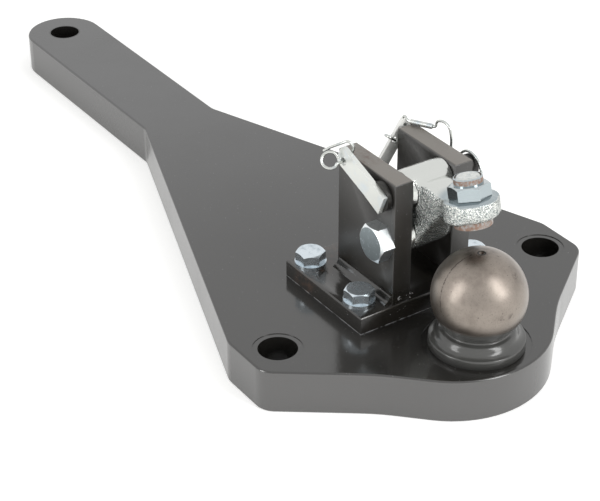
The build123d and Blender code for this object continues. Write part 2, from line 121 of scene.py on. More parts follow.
class MetalLook(bpy.types.PropertyGroup):
    """Platings and bare metals of the small pieces and the casting."""
    zinc: colour_property("Zinc", "Bright zinc plating", 214, 223, 229)
    zinc_dark: colour_property("Zinc shade", "Darker patches in the zinc", 158, 170, 178)
    # Painted reflection and shade: the cross bolt's head face, the flanks of the eye's bolt and
    # nut, and the ring round the nut.
    dull_and_shade: colour_property("Dull face", "Face of the cross bolt's head", 160, 171, 175)
    flats: colour_property("Flats", "Bright flats of the cross bolt's head", 229, 234, 235)
    nut: colour_property("Eye nut", "Duller plating of the eye's nut", 190, 197, 199)
    nickel: colour_property("Nickel", "Plating of the handle", 222, 224, 219)
    # Painted light: the tab is matt and near white to make up for the light the cheeks keep off
    # it.
    bright: colour_property("Far tab", "Matt white of the tab behind the cheeks", 254, 254, 250)
    wire: colour_property("Wires", "Plating of the wires", 205, 207, 203)
    # Painted shade: the lock pin is painted dark as it sits in shade.
    pin: colour_property("Pin", "Dark finish of the lock pin", 70, 69, 66)
    casting: colour_property("Casting", "Light skin of the casting", 212, 214, 210)
    casting_dark: colour_property("Casting shade", "Pits in the casting's skin", 118, 130, 130)
    insert: colour_property("Locking ring", "Ring inside the lock nuts", 112, 88, 70)
    rust: colour_property("Rust", "Brown film on the eye's bolt and nut", 136, 108, 92)


class StageLook(bpy.types.PropertyGroup):
    """Floor, lens and light."""
    floor: colour_property("Floor", "Pale floor", 236, 236, 235)
    floor_size: length_property("Floor size", "Width of the floor", 6.0)
    focal: bpy.props.FloatProperty(
        name="Lens", description="Focal length in millimetres",
        default=107.96, min=1, unit="CAMERA",
    )
    level: bpy.props.FloatProperty(
        name="Light level", description="Scale of all the lamps", default=1.0, min=0
    )
    sky: bpy.props.FloatProperty(
        name="Sky level", description="Light from the white surround", default=0.4, min=0
    )


# A Mix node has sockets for every kind of data, and these are the ones for colours.
MIX_SHARE, MIX_FIRST, MIX_SECOND, MIX_RESULT = 0, 6, 7, 2


class Nodes:
    """A short way to write a material: each method adds a node and gives back its output."""

    def __init__(self, name, roughness=0.5, metallic=0.0):
        self.material = bpy.data.materials.new(name)
        self.material.use_nodes = True
        self.tree = self.material.node_tree
        self.bsdf = self.tree.nodes["Principled BSDF"]
        self.bsdf.inputs["Roughness"].default_value = roughness
        self.bsdf.inputs["Metallic"].default_value = metallic
        self.place = self.tree.nodes.new("ShaderNodeTexCoord").outputs["Object"]

    def link(self, value, socket):
        """Puts a node's output, a colour or a number into a socket."""
        if isinstance(value, bpy.types.NodeSocket):
            self.tree.links.new(value, socket)
        elif isinstance(value, (tuple, list)) and len(value) == 3 and socket.type == "RGBA":
            socket.default_value = (*value, 1)
        elif hasattr(value, "r"):
            socket.default_value = (*value, 1)
        else:
            socket.default_value = value

    def noise(self, size, detail=4, roughness=0.55):
        """Soft irregular patches of about the given size in metres."""
        node = self.tree.nodes.new("ShaderNodeTexNoise")
        node.inputs["Scale"].default_value = 1 / size
        node.inputs["Detail"].default_value = detail
        node.inputs["Roughness"].default_value = roughness
        self.link(self.place, node.inputs["Vector"])
        return node.outputs["Fac"]

    def cells(self, size):
        """A random value for each small cell."""
        node = self.tree.nodes.new("ShaderNodeTexVoronoi")
        node.inputs["Scale"].default_value = 1 / size
        self.link(self.place, node.inputs["Vector"])
        return self.split(node.outputs["Color"])[0]

    def ramp(self, value, low, high, low_out=0.0, high_out=1.0, smooth=True):
        """Goes from low_out to high_out as the value goes from low to high, and stays there."""
        node = self.tree.nodes.new("ShaderNodeMapRange")
        node.interpolation_type = "SMOOTHSTEP" if smooth else "LINEAR"
        sockets = ("Value", "From Min", "From Max", "To Min", "To Max")
        for socket, number in zip(sockets, (value, low, high, low_out, high_out)):
            self.link(number, node.inputs[socket])
        return node.outputs["Result"]

    def maths(self, operation, first, second=0.0):
        """The result of one sum on numbers or on other nodes' outputs."""
        node = self.tree.nodes.new("ShaderNodeMath")
        node.operation = operation
        self.link(first, node.inputs[0])
        self.link(second, node.inputs[1])
        return node.outputs[0]

    def mix(self, share, first, second):
        """The first colour where the share is 0, the second where it is 1."""
        node = self.tree.nodes.new("ShaderNodeMix")
        node.data_type = "RGBA"
        for socket, value in ((MIX_SHARE, share), (MIX_FIRST, first), (MIX_SECOND, second)):
            self.link(value, node.inputs[socket])
        return node.outputs[MIX_RESULT]

    def split(self, vector=None):
        """The three numbers of a vector, or of the place on the surface."""
        node = self.tree.nodes.new("ShaderNodeSeparateXYZ")
        self.link(vector or self.place, node.inputs[0])
        return node.outputs

    def distance(self, point, stretch=(1, 1, 1)):
        """How far a place on the surface lies from a point, with each axis stretched first."""
        scaled = self.tree.nodes.new("ShaderNodeVectorMath")
        scaled.operation = "MULTIPLY_ADD"
        self.link(self.place, scaled.inputs[0])
        scaled.inputs[1].default_value = stretch
        scaled.inputs[2].default_value = [-p * s for p, s in zip(point, stretch)]
        node = self.tree.nodes.new("ShaderNodeVectorMath")
        node.operation = "LENGTH"
        self.link(scaled.outputs[0], node.inputs[0])
        return node.outputs["Value"]

    def along(self, direction, origin):
        """How far a place on the surface lies from an origin along a direction."""
        node = self.tree.nodes.new("ShaderNodeVectorMath")
        node.operation = "DOT_PRODUCT"
        self.link(self.place, node.inputs[0])
        node.inputs[1].default_value = direction
        return self.maths("SUBTRACT", node.outputs["Value"], Vector(direction).dot(Vector(origin)))

    def near(self, points, inner, outer, stretch=(1, 1, 1)):
        """1 within a radius of any of the points, 0 beyond a larger one."""
        share = 0.0
        for point in points:
            spot = self.ramp(self.distance(point, stretch), outer, inner)
            share = self.maths("MAXIMUM", share, spot)
        return share

    def facing(self):
        """The surface's own direction, as three numbers."""
        geometry = self.tree.nodes.new("ShaderNodeNewGeometry")
        return self.split(geometry.outputs["Normal"])

    def bump(self, height, strength, depth=0.0002):
        """Small unevenness of the surface, its depth in metres."""
        node = self.tree.nodes.new("ShaderNodeBump")
        node.inputs["Strength"].default_value = strength
        node.inputs["Distance"].default_value = depth
        self.link(height, node.inputs["Height"])
        self.link(node.outputs["Normal"], self.bsdf.inputs["Normal"])

    def finish(self, colour, roughness=None):
        """Gives the shader its colour and gives back the material."""
        self.link(colour, self.bsdf.inputs["Base Color"])
        if roughness is not None:
            self.link(roughness, self.bsdf.inputs["Roughness"])
        return self.material


def dress(material, *nodes):
    """Gives CAD nodes one material."""
    for node in nodes:
        mesh = NODES[node].data
        mesh.materials.clear()
        mesh.materials.append(material)


def named(*starts):
    """CAD nodes whose names start in one of the given ways."""
    return sorted(n for n in NODES if n.startswith(starts))


def specks(node, base, colour, share):
    """Sparse small light dots."""
    dots = node.ramp(node.noise(FINE_GRAIN, 1), 0.77, 0.8, 0.0, share)
    return node.mix(dots, base, colour)


PLATE_HOLES = ((-0.456, 0, 0), (-0.053, -0.088, 0), (-0.053, 0.088, 0))
HOLE_WALL = (0.01055, 0.0109)       # the painted shade on the holes' walls ends between these radii
ARM_TO_BALL = (-0.36, -0.1)         # painted shade darkens the paint along this stretch


def plate_paint(look):
    """Glossy paint with painted shade towards the ball and on the holes' walls, and painted light
    on the plate's sides.
    """
    paint = Nodes("plate_paint", roughness=0.17)
    paint.bsdf.inputs["IOR"].default_value = look.gloss
    along_plate = paint.split()[0]
    clouds = paint.noise(0.07, 3, 0.6)
    # Painted shade: the plate darkens towards the ball.
    base = paint.mix(paint.ramp(along_plate, *ARM_TO_BALL), look.plate, look.plate_shade_and_mottle)
    base = paint.mix(paint.ramp(clouds, 0.4, 0.75, 0.0, 0.3), base, look.plate_shade_and_mottle)
    base = specks(paint, base, look.worn, 0.35)
    # Painted light: faces that look sideways get the lighter side paint.
    lit_sides = paint.ramp(paint.maths("ABSOLUTE", paint.facing()[2]), 0.6, 0.3)
    base = paint.mix(lit_sides, base, look.side_light_paint)
    # Painted shade on the holes' walls.
    walls = paint.near(PLATE_HOLES, *HOLE_WALL, FLAT)
    base = paint.mix(walls, base, look.hole)
    paint.bump(paint.noise(0.0016, 3), 0.12)
    return paint.finish(base, paint.ramp(clouds, 0.3, 0.7, 0.12, 0.2))


STAINS = ((-0.0947, -0.036, 0.035), (-0.0978, -0.016, 0.035), (-0.107, -0.02, 0.028),
          (-0.09, -0.046, 0.028), (-0.074, -0.02, 0.1063))
STAIN_REACH = (0.002, 0.014)        # full within the first radius, gone at the second
# Painted highlights: white glints standing in for light on weld spatter by the cheek's front foot.
SPATTER_HIGHLIGHTS = ((-0.0415, -0.0225, 0.035), (-0.0436, -0.0098, 0.035), (-0.0414, -0.0134, 0.035),
          (-0.0400, -0.0200, 0.0375))
GLINT_REACH = (0.0004, 0.0017)
CHEEK_HIGHLIGHT_HEIGHT = (0.09, 0.1)           # only faces above this height get the painted highlight on the cheeks' upward faces
BASE_SEAM = (0.0257, 0.0254)        # painted highlight along the line where the base meets the plate
CHEEK_DULL = (0.036, 0.048)         # the cheeks are duller than the base, from this height up


def bracket_paint(look):
    """Glossy paint with brown stains, and painted highlights on the cheeks' upward faces, along
    the base's foot and as white glints.
    """
    paint = Nodes("bracket_paint", roughness=0.3)
    paint.bsdf.inputs["IOR"].default_value = look.gloss
    height = paint.split()[2]
    up = paint.facing()[2]
    clouds = paint.noise(0.03, 4, 0.6)
    fine = paint.noise(0.004, 4, 0.7)
    base = paint.mix(paint.ramp(clouds, 0.35, 0.7), look.bracket, look.bracket_dark)
    # Painted highlight on the cheeks' upward faces.
    crown = paint.maths("MULTIPLY", paint.ramp(up, 0.6, 0.95), paint.ramp(height, *CHEEK_HIGHLIGHT_HEIGHT))
    base = paint.mix(crown, base, look.top)
    stained = paint.near(STAINS, *STAIN_REACH)
    stained = paint.maths("MULTIPLY", stained, paint.ramp(fine, 0.4, 0.65))
    base = paint.mix(paint.maths("MULTIPLY", stained, 0.8), base, look.stain)
    base = specks(paint, base, look.worn, 0.6)
    # Painted highlight: a light line along the foot of the base's sides.
    seam_highlight = paint.maths("MULTIPLY", paint.ramp(height, *BASE_SEAM), paint.ramp(up, 0.3, 0.1))
    seam_highlight = paint.maths("MULTIPLY", seam_highlight, paint.ramp(fine, 0.35, 0.6))
    base = paint.mix(paint.maths("MULTIPLY", seam_highlight, 0.6), base, look.worn)
    # Painted highlights: ragged white glints.
    broken = paint.ramp(paint.noise(0.0011, 2), 0.5, 0.56)
    glints = paint.maths("MULTIPLY", paint.near(SPATTER_HIGHLIGHTS, *GLINT_REACH), broken)
    base = paint.mix(glints, base, WHITE)
    paint.bump(paint.noise(0.0025, 3), 0.1, 0.0003)
    duller = paint.ramp(height, *CHEEK_DULL, 0.2, 0.42)
    cloudy = paint.ramp(clouds, 0.3, 0.7, -0.04, 0.04)
    return paint.finish(base, paint.maths("ADD", duller, cloudy))


BALL_CENTRE = (0, 0, 0.054)
SCRATCH_NORMAL = (0.906, -0.277, 0.321)     # the scratch lies in a slice of the ball
SCRATCH_OFFSET = 0.00734                    # this far from its centre
SCRATCH_WIDTH = (0.0005, 0.0001)
SCRATCH_SIDE = (-0.003, -0.005)             # it runs from here to the near side
SCRATCH_FOOT = (0.0525, 0.0535)             # and ends at this height
SMUDGES = ((0.0244, -0.0053, 0.0547), (0.025, 0.0001, 0.0542), (0.0164, 0.0085, 0.0709))
SMUDGE_REACH = (0.0005, 0.003)
CROWN_SMUDGE = (-0.003, 0.0, 0.0789)
CROWN_REACH = (0.003, 0.011)
BALL_SHADE = (0.052, 0.044)                 # the ball darkens below its middle
DIMPLE_RING = (0.0013, 0.0016, 0.0021, 0.0024)     # the dark ring fades in and out at these radii
DIMPLE_LEVEL = (0.07, 0.072)                # and only this high up
DIMPLE_DARK = (0.006, 0.005, 0.004)


def ball_marks(steel, base, ragged, look):
    """Dark smudges on the crown and the front, and a dark ring round the centre-drill mark."""
    height = steel.split()[2]
    dots = steel.ramp(steel.noise(0.0014, 1), 0.74, 0.78, 0.0, 0.7)
    base = steel.mix(dots, base, look.smudge_and_shade)
    crown = steel.near([CROWN_SMUDGE], *CROWN_REACH)
    crown = steel.maths("MULTIPLY", crown, steel.ramp(ragged, 0.4, 0.6, 0.05, 0.65))
    base = steel.mix(crown, base, look.smudge_and_shade)
    inner, inner_full, outer_full, outer = DIMPLE_RING
    outside = steel.ramp(steel.distance((0, 0, 0), FLAT), inner, inner_full)
    ring = steel.maths("MULTIPLY", steel.near([(0, 0, 0)], outer_full, outer, FLAT), outside)
    ring = steel.maths("MULTIPLY", ring, steel.ramp(height, *DIMPLE_LEVEL))
    base = steel.mix(ring, base, DIMPLE_DARK)
    rubbed = steel.ramp(ragged, 0.45, 0.55, 0.0, 0.5)
    rubbed = steel.maths("MULTIPLY", steel.near(SMUDGES, *SMUDGE_REACH), rubbed)
    return steel.mix(rubbed, base, look.smudge_and_shade)


def ball_scratch(steel, ragged):
    """Share of the long dark scratch on the near side, ragged and broken."""
    _, across, height = steel.split()
    off = steel.maths("SUBTRACT", steel.along(SCRATCH_NORMAL, BALL_CENTRE), SCRATCH_OFFSET)
    wander = steel.maths("MULTIPLY", steel.maths("SUBTRACT", ragged, 0.5), 0.0014)
    off = steel.maths("ADD", off, wander)
    line = steel.ramp(steel.maths("ABSOLUTE", off), *SCRATCH_WIDTH)
    line = steel.maths("MULTIPLY", line, steel.ramp(across, *SCRATCH_SIDE))
    line = steel.maths("MULTIPLY", line, steel.ramp(height, *SCRATCH_FOOT))
    broken = steel.ramp(steel.noise(0.0016, 2), 0.4, 0.55, 0.25, 0.9)
    return steel.maths("MULTIPLY", line, broken)


def ball_steel(look):
    """Turned steel, worn and smudged, with painted shade on its lower half, above dark paint on
    the neck and the collar.
    """
    steel = Nodes("ball_steel", roughness=0.4, metallic=1.0)
    steel.bsdf.inputs["Coat Weight"].default_value = 0.5
    steel.bsdf.inputs["Coat Roughness"].default_value = 0.32
    height = steel.split()[2]
    patches = steel.noise(0.014, 4, 0.6)
    grain = steel.noise(0.0008, 3, 0.6)
    ragged = steel.noise(0.003, 4, 0.7)
    base = steel.mix(steel.ramp(patches, 0.4, 0.75), look.bare, look.warm)
    base = steel.mix(steel.ramp(grain, 0.5, 0.75, 0.0, 0.7), base, look.warm)
    # Painted shade: the ball darkens below its middle.
    base = steel.mix(steel.ramp(height, *BALL_SHADE, 0.0, 0.4), base, look.smudge_and_shade)
    base = ball_marks(steel, base, ragged, look)
    base = steel.mix(ball_scratch(steel, ragged), base, look.smudge_and_shade)
    painted = steel.ramp(height, look.paint_top + 0.0016, look.paint_top - 0.0012)
    base = steel.mix(painted, base, look.neck)
    steel.link(steel.maths("SUBTRACT", 1.0, painted), steel.bsdf.inputs["Metallic"])
    steel.bump(grain, 0.12)
    return steel.finish(base, steel.ramp(painted, 0, 1, 0.4, 0.12))


def plating(name, light, dark, roughness=0.2, patch=0.004, metallic=1.0):
    """Bright plating with soft darker patches and a fine grain."""
    metal = Nodes(name, roughness=roughness, metallic=metallic)
    patches = metal.noise(patch, 3, 0.6)
    grain = metal.noise(FINE_GRAIN, 3, 0.6)
    base = metal.mix(metal.ramp(patches, 0.45, 0.75, 0.0, 0.7), light, dark)
    base = metal.mix(metal.ramp(grain, 0.6, 0.8, 0.0, 0.3), base, dark)
    metal.bump(grain, 0.12)
    return metal.finish(base, metal.ramp(patches, 0.3, 0.8, roughness, roughness + 0.15))


def head_plating(look):
    """Bright flats round a head whose face, looking along -y, is painted dark as a reflection of
    the plate.
    """
    metal = Nodes("cross_bolt_zinc", roughness=0.32, metallic=1.0)
    mottle = metal.noise(0.0025, 4, 0.7)
    # Painted reflection: the face looking along -y is darker than the flats.
    face = metal.ramp(metal.facing()[1], -0.9, -0.97)
    dull_and_shade = metal.mix(metal.ramp(mottle, 0.55, 0.7), look.dull_and_shade, look.zinc)
    base = metal.mix(metal.ramp(mottle, 0.5, 0.8, 0.0, 0.6), look.flats, look.zinc_dark)
    metal.bump(metal.noise(FINE_GRAIN, 3, 0.6), 0.12)
    return metal.finish(metal.mix(face, base, dull_and_shade))


PIVOT = (-0.05, 0, 0.07)            # on the cross bolt's axis
EYE_AXIS = (-0.2622, 0, 0.965)      # runs up through the eye of the casting
EYE_LOW = (-0.00484, 0, 0.08227)    # on that axis, below the eye
EYE_TOP = (-0.01135, 0, 0.10625)    # on that axis, in the eye's upper face


def rusty_plating(name, light, look, low, high):
    """Plating with painted shade on its flanks and a brown film between two heights along the
    eye's axis.
    """
    metal = Nodes(name, roughness=0.14, metallic=1.0)
    height = metal.along(EYE_AXIS, PIVOT)
    mottle = metal.noise(0.0022, 4, 0.7)
    grain = metal.noise(FINE_GRAIN, 3, 0.6)
    # Painted shade: faces that look up less are darker.
    shaded_flank = metal.ramp(metal.facing()[2], 0.75, 0.5, 0.0, 0.75)
    dull_and_shade = metal.maths("MAXIMUM", shaded_flank, metal.ramp(mottle, 0.45, 0.75, 0.0, 0.9))
    base = metal.mix(dull_and_shade, light, look.dull_and_shade)
    band = metal.maths("MULTIPLY", metal.ramp(height, low, low + 0.0006),
                       metal.ramp(height, high, high - 0.0004))
    film = metal.maths("MULTIPLY", band, metal.ramp(mottle, 0.35, 0.6, 0.35, 1.0))
    base = metal.mix(film, base, look.rust)
    metal.link(metal.ramp(film, 0, 1, 1.0, 0.3), metal.bsdf.inputs["Metallic"])
    metal.bump(metal.maths("ADD", grain, film), 0.2)
    return metal.finish(base, metal.ramp(film, 0, 1, 0.14, 0.5))


SIDE_FACES = (0.85, 0.6)            # faces that look up less than this count as sides
BEYOND_ARM = (0.0106, 0.0114)       # the barrels stand out past the arm's sides from here
EYE_REACH = (0.022, 0.027)          # nothing farther from the eye's top belongs to the eye
NUT_SHADE = (0.02, 0.014)           # painted shadow: a darker ring on the eye round its nut


def casting_skin(look):
    """Granular on the sides, smooth on the faces that look up and at the barrels' ends, with a
    painted shadow round the nut.
    """
    skin = Nodes("casting_skin", roughness=0.22, metallic=1.0)
    across = skin.maths("ABSOLUTE", skin.split()[1])
    from_eye = skin.distance(EYE_TOP)
    barrel_end = skin.maths("MULTIPLY", skin.ramp(across, *BEYOND_ARM),
                            skin.ramp(from_eye, *EYE_REACH))
    side = skin.ramp(skin.facing()[2], *SIDE_FACES)
    side = skin.maths("MULTIPLY", side, skin.maths("SUBTRACT", 1.0, barrel_end))
    tone = skin.ramp(skin.cells(0.0006), 0.35, 0.95, 0.0, 0.85, smooth=False)
    base = skin.mix(skin.maths("MULTIPLY", tone, side), look.casting, look.casting_dark)
    smooth = skin.maths("SUBTRACT", 1.0, side)
    nut_shadow = skin.maths("MULTIPLY", skin.ramp(from_eye, *NUT_SHADE), smooth)
    base = skin.mix(skin.maths("MULTIPLY", nut_shadow, 0.9), base, look.dull_and_shade)
    depth = skin.ramp(side, 0, 1, 0.06, 1.0)
    skin.bump(skin.maths("MULTIPLY", skin.noise(0.0007, 1, 0.6), depth), 1.0, 0.0008)
    return skin.finish(base)


RING_DIRT = (0.02, 0.016, 0.012)    # linear colours
PIN_SHADE = (0.03, 0.03, 0.03)


def nut_insert(look):
    """Brown locking ring, dirty in patches."""
    ring = Nodes("nut_insert", roughness=0.5)
    base = ring.mix(ring.noise(0.001, 3), look.insert, RING_DIRT)
    return ring.finish(base)


def pin_shaded_steel(look):
    """The lock pin painted dark as painted shade, a little blotchy."""
    steel = Nodes("pin_shaded_steel", roughness=0.3, metallic=0.8)
    base = steel.mix(steel.noise(0.002, 3), look.pin, PIN_SHADE)
    return steel.finish(base)


class HITCH_OT_plate(bpy.types.Operator):
    """Paint the mounting plate"""
    bl_idname = "hitch.plate"
    bl_label = "Plate"

    def execute(self, context):
        dress(plate_paint(context.scene.hitch_paint), "hitch_plate")
        return {"FINISHED"}


# The ball and what lies below it, as radius and height in millimetres, from the top down.
BALL_RADIUS = 25
BALL_HEIGHT = 54
BALL_TOP_TURN = 3.6         # the centre-drill mark opens this many degrees from the pole
BALL_NECK_TURN = 42.8       # and the neck begins this many below the middle
BALL_STEPS = 90
DIMPLE = ((0.0, 77.6), (1.5, 78.9))
COLLAR_PROFILE = ((18.3, 37.0), (17.5, 35.9), (17.6, 35.0), (18.4, 34.6), (19.5, 34.2),
                  (20.3, 33.5), (20.9, 32.6), (21.5, 31.6), (22.3, 30.8), (23.4, 30.15),
                  (24.4, 29.8), (24.8, 29.7))
COLLAR_STEPS = 4
COLLAR_RIM = ((25.05, 29.6), (25.22, 29.42), (25.3, 29.2))
COLLAR_FOOT = ((25.3, 24.6), (11.0, 24.6), (11.0, 1.0), (0.0, 1.0))
TURNED_SEGMENTS = 144


def curve_through(points, steps):
    """Points on a smooth line through the given ones."""
    ends = (points[0], *points, points[-1])
    line = []
    for a, b, c, d in zip(ends, ends[1:], ends[2:], ends[3:]):
        for step in range(steps):
            t = step / steps
            line.append([
                0.5 * (2 * q + (r - p) * t + (2 * p - 5 * q + 4 * r - s) * t ** 2
                       + (3 * q - p - 3 * r + s) * t ** 3)
                for p, q, r, s in zip(a, b, c, d)
            ])
    return [*line, list(points[-1])]


def keep_sharp(mesh):
    """Marks the steep edges, so that shading doesn't run over them."""
    for edge in mesh.edges:
        edge.smooth = edge.calc_face_angle(0) < SHARP


def lathe(profile):
    """A closed turned shape from radius and height pairs in millimetres, top to bottom."""
    mesh = bmesh.new()
    rings = []
    for radius, height in profile:
        if radius == 0:
            rings.append([mesh.verts.new((0, 0, height / 1000))] * TURNED_SEGMENTS)
            continue
        ring = []
        for k in range(TURNED_SEGMENTS):
            turn = 2 * pi * k / TURNED_SEGMENTS
            ring.append(mesh.verts.new(
                (radius / 1000 * cos(turn), radius / 1000 * sin(turn), height / 1000)
            ))
        rings.append(ring)
    for upper, lower in zip(rings, rings[1:]):
        for k in range(TURNED_SEGMENTS):
            after = (k + 1) % TURNED_SEGMENTS
            corners = dict.fromkeys((upper[k], lower[k], lower[after], upper[after]))
            mesh.faces.new(corners).smooth = True
    keep_sharp(mesh)
    return mesh


def merged(node):
    """A copy of a node's loose triangles, joined into faces."""
    mesh = bmesh.new()
    mesh.from_mesh(NODES[node].data)
    bmesh.ops.remove_doubles(mesh, verts=mesh.verts, dist=MERGE)
    return mesh


def piece_from(mesh, name, node):
    """A new piece of the frame's body that stands for a node."""
    data = bpy.data.meshes.new(name)
    mesh.to_mesh(data)
    mesh.free()
    piece = bpy.data.objects.new(name, data)
    bpy.context.scene.collection.objects.link(piece)
    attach(piece, "frame")
    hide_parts(node)
    return piece


class HITCH_OT_ball(bpy.types.Operator):
    """Turn the tow ball and finish it in bare steel above dark paint"""
    bl_idname = "hitch.ball"
    bl_label = "Tow ball"

    def execute(self, context):
        top = pi / 2 - radians(BALL_TOP_TURN)
        neck = -radians(BALL_NECK_TURN)
        turns = [top + (neck - top) * k / BALL_STEPS for k in range(BALL_STEPS)]
        ball = [(BALL_RADIUS * cos(t), BALL_HEIGHT + BALL_RADIUS * sin(t)) for t in turns]
        collar = curve_through(COLLAR_PROFILE, COLLAR_STEPS)
        shape = lathe([*DIMPLE, *ball, *collar, *COLLAR_RIM, *COLLAR_FOOT])
        piece = piece_from(shape, "tow_ball_turned", "tow_ball")
        piece.data.materials.append(ball_steel(context.scene.hitch_ball))
        return {"FINISHED"}


FLAT_ANGLE = radians(1)             # faces that meet at less than this become one
BEVEL_ANGLE = radians(40)           # and edges steeper than this are rounded
BEVEL_STEPS = 3


def eased(node, width):
    """The node with its sharp edges rounded a little, so that they catch the light."""
    mesh = merged(node)
    bmesh.ops.dissolve_limit(mesh, angle_limit=FLAT_ANGLE, verts=mesh.verts, edges=mesh.edges)
    for face in mesh.faces:
        face.smooth = True
    piece = piece_from(mesh, node + "_eased", node)
    bevel = piece.modifiers.new("edges", "BEVEL")
    bevel.width = width
    bevel.segments = BEVEL_STEPS
    bevel.limit_method = "ANGLE"
    bevel.angle_limit = BEVEL_ANGLE
    bevel.harden_normals = True
    return piece


WELD_RUN = (-0.0882, -0.0415)       # the beads stop short of the cheeks' ends
WELD_FOOT = 0.035                   # height of the base's upper face
WELD_LEG = 0.0044
WELD_HOLLOW = 0.4                   # how much of the leg the bead's middle falls back
WELD_WAVE = 0.02                    # unevenness of the leg along the run
WELD_WAVES = 320                    # and its turns, in radians a metre
WELD_STEPS = 60
WELD_AROUND = 12


def weld_section(x, sign, cheek_face):
    """The bead's outline across its run: a hollow quarter from the base up to the cheek."""
    leg = WELD_LEG * (1 + WELD_WAVE * sin(x * WELD_WAVES))
    outline = []
    for k in range(WELD_AROUND + 1):
        turn = (pi / 2) * k / WELD_AROUND
        reach = leg * (1 - WELD_HOLLOW * sin(2 * turn))
        outline.append((x, sign * (cheek_face + reach * cos(turn)), WELD_FOOT + reach * sin(turn)))
    outline.append((x, sign * cheek_face, WELD_FOOT))
    return outline


def weld_bead(sign, cheek_face):
    """A hollow fillet in the corner between a cheek and the base, a little uneven in its run."""
    mesh = bmesh.new()
    start, end = WELD_RUN
    rings = []
    for i in range(WELD_STEPS + 1):
        x = start + (end - start) * i / WELD_STEPS
        rings.append([mesh.verts.new(place) for place in weld_section(x, sign, cheek_face)])
    for first, second in zip(rings, rings[1:]):
        for k in range(len(first)):
            after = (k + 1) % len(first)
            face = mesh.faces.new((first[k], first[after], second[after], second[k]))
            face.smooth = k < WELD_AROUND
    mesh.faces.new(rings[0])
    mesh.faces.new(rings[-1])
    bmesh.ops.recalc_face_normals(mesh, faces=mesh.faces)
    keep_sharp(mesh)
    return mesh


class HITCH_OT_bracket(bpy.types.Operator):
    """Paint the clevis bracket, round its edges a little and lay its weld beads"""
    bl_idname = "hitch.bracket"
    bl_label = "Bracket"

    def execute(self, context):
        look = context.scene.hitch_paint
        paint = bracket_paint(look)
        for node in ("bracket_base", "near_cheek", "far_cheek"):
            eased(node, look.edge).data.materials.append(paint)
        for side, sign in (("near", -1), ("far", 1)):
            cheek_face = max(abs(corner[1]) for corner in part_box(side + "_cheek"))
            bead = piece_from(weld_bead(sign, cheek_face), f"weld_bead_{side}", f"weld_{side}")
            bead.data.materials.append(paint)
        return {"FINISHED"}


# The brown film lies between these heights above the cross bolt, along the eye's axis.
NUT_RUST = (0.0322, 0.0352)
BOLT_RUST = (0.0, 0.0138)


class HITCH_OT_fasteners(bpy.types.Operator):
    """Plate the bolts, nuts and washers, and colour the lock nuts' rings"""
    bl_idname = "hitch.fasteners"
    bl_label = "Fasteners"

    def execute(self, context):
        look = context.scene.hitch_metal
        zinc = plating("zinc", look.zinc, look.zinc_dark)
        dress(zinc, "cross_nut", *named("bracket_bolt", "spring_washer"))
        dress(head_plating(look), "cross_bolt")
        dress(rusty_plating("eye_nut", look.nut, look, *NUT_RUST), "eye_nut")
        dress(rusty_plating("eye_bolt", look.casting, look, *BOLT_RUST), "eye_bolt")
        dress(nut_insert(look), "cross_nut_ring", "eye_nut_ring")
        return {"FINISHED"}


CAST_VOXEL = 0.0007                 # size of the casting's faces
CAST_PASSES = 70                    # rounds of smoothing
CAST_PULL = 0.6                     # share of the way to its neighbours that a point goes
CROSS_BORE = (PIVOT, (0, 1, 0))
PIN_BORE = ((-0.05, 0, 0.0965), (0, 1, 0))
EYE_BORE = (EYE_LOW, EYE_AXIS)
BORE_KEPT = 0.0072                  # up to this radius the bores keep their shape
BORE_FADE = 0.0015                  # and this much farther out the smoothing is full
BARREL_KEPT = 0.0128                # beyond this the barrels' ends keep their shape
BARREL_FADE = 0.001


def free_share(places):
    """0 at the bores and the barrels' ends, which fit other pieces, and 1 away from them."""
    share = np.clip((BARREL_KEPT - np.abs(places[:, 1])) / BARREL_FADE, 0, 1)
    for origin, axis in (CROSS_BORE, PIN_BORE, EYE_BORE):
        line = np.array(axis) / np.linalg.norm(axis)
        off = places - np.array(origin)
        away = np.linalg.norm(off - np.outer(off @ line, line), axis=1)
        share = np.minimum(share, np.clip((away - BORE_KEPT) / BORE_FADE, 0, 1))
    return share


def remeshed(piece, voxel):
    """The piece's shape as a new mesh of even small faces."""
    remesh = piece.modifiers.new("remesh", "REMESH")
    remesh.mode = "VOXEL"
    remesh.voxel_size = voxel
    graph = bpy.context.evaluated_depsgraph_get()
    data = bpy.data.meshes.new_from_object(piece.evaluated_get(graph))
    piece.modifiers.clear()
    return data


def cast_shape():
    """The casting with its inner corners run together, as a mould leaves them."""
    piece = piece_from(merged("swivel_casting"), "swivel_casting_cast", "swivel_casting")
    data = piece.data = remeshed(piece, CAST_VOXEL)
    places = np.empty(len(data.vertices) * 3)
    data.vertices.foreach_get("co", places)
    places = places.reshape(-1, 3)
    ends = np.empty(len(data.edges) * 2, dtype=int)
    data.edges.foreach_get("vertices", ends)
    first, second = ends.reshape(-1, 2).T
    count = len(places)
    joined = np.bincount(ends, minlength=count)[:, None]
    pull = CAST_PULL * free_share(places)[:, None]
    for _ in range(CAST_PASSES):
        total = np.stack([
            np.bincount(first, places[second, axis], count)
            + np.bincount(second, places[first, axis], count) for axis in range(3)
        ], axis=1)
        places = places + pull * (total / joined - places)
    data.vertices.foreach_set("co", places.ravel())
    for face in data.polygons:
        face.use_smooth = True
    data.update()
    return piece


class HITCH_OT_casting(bpy.types.Operator):
    """Run the casting's corners together and give it its granular skin"""
    bl_idname = "hitch.casting"
    bl_label = "Casting"

    def execute(self, context):
        piece = cast_shape()
        piece.data.materials.clear()
        piece.data.materials.append(casting_skin(context.scene.hitch_metal))
        return {"FINISHED"}


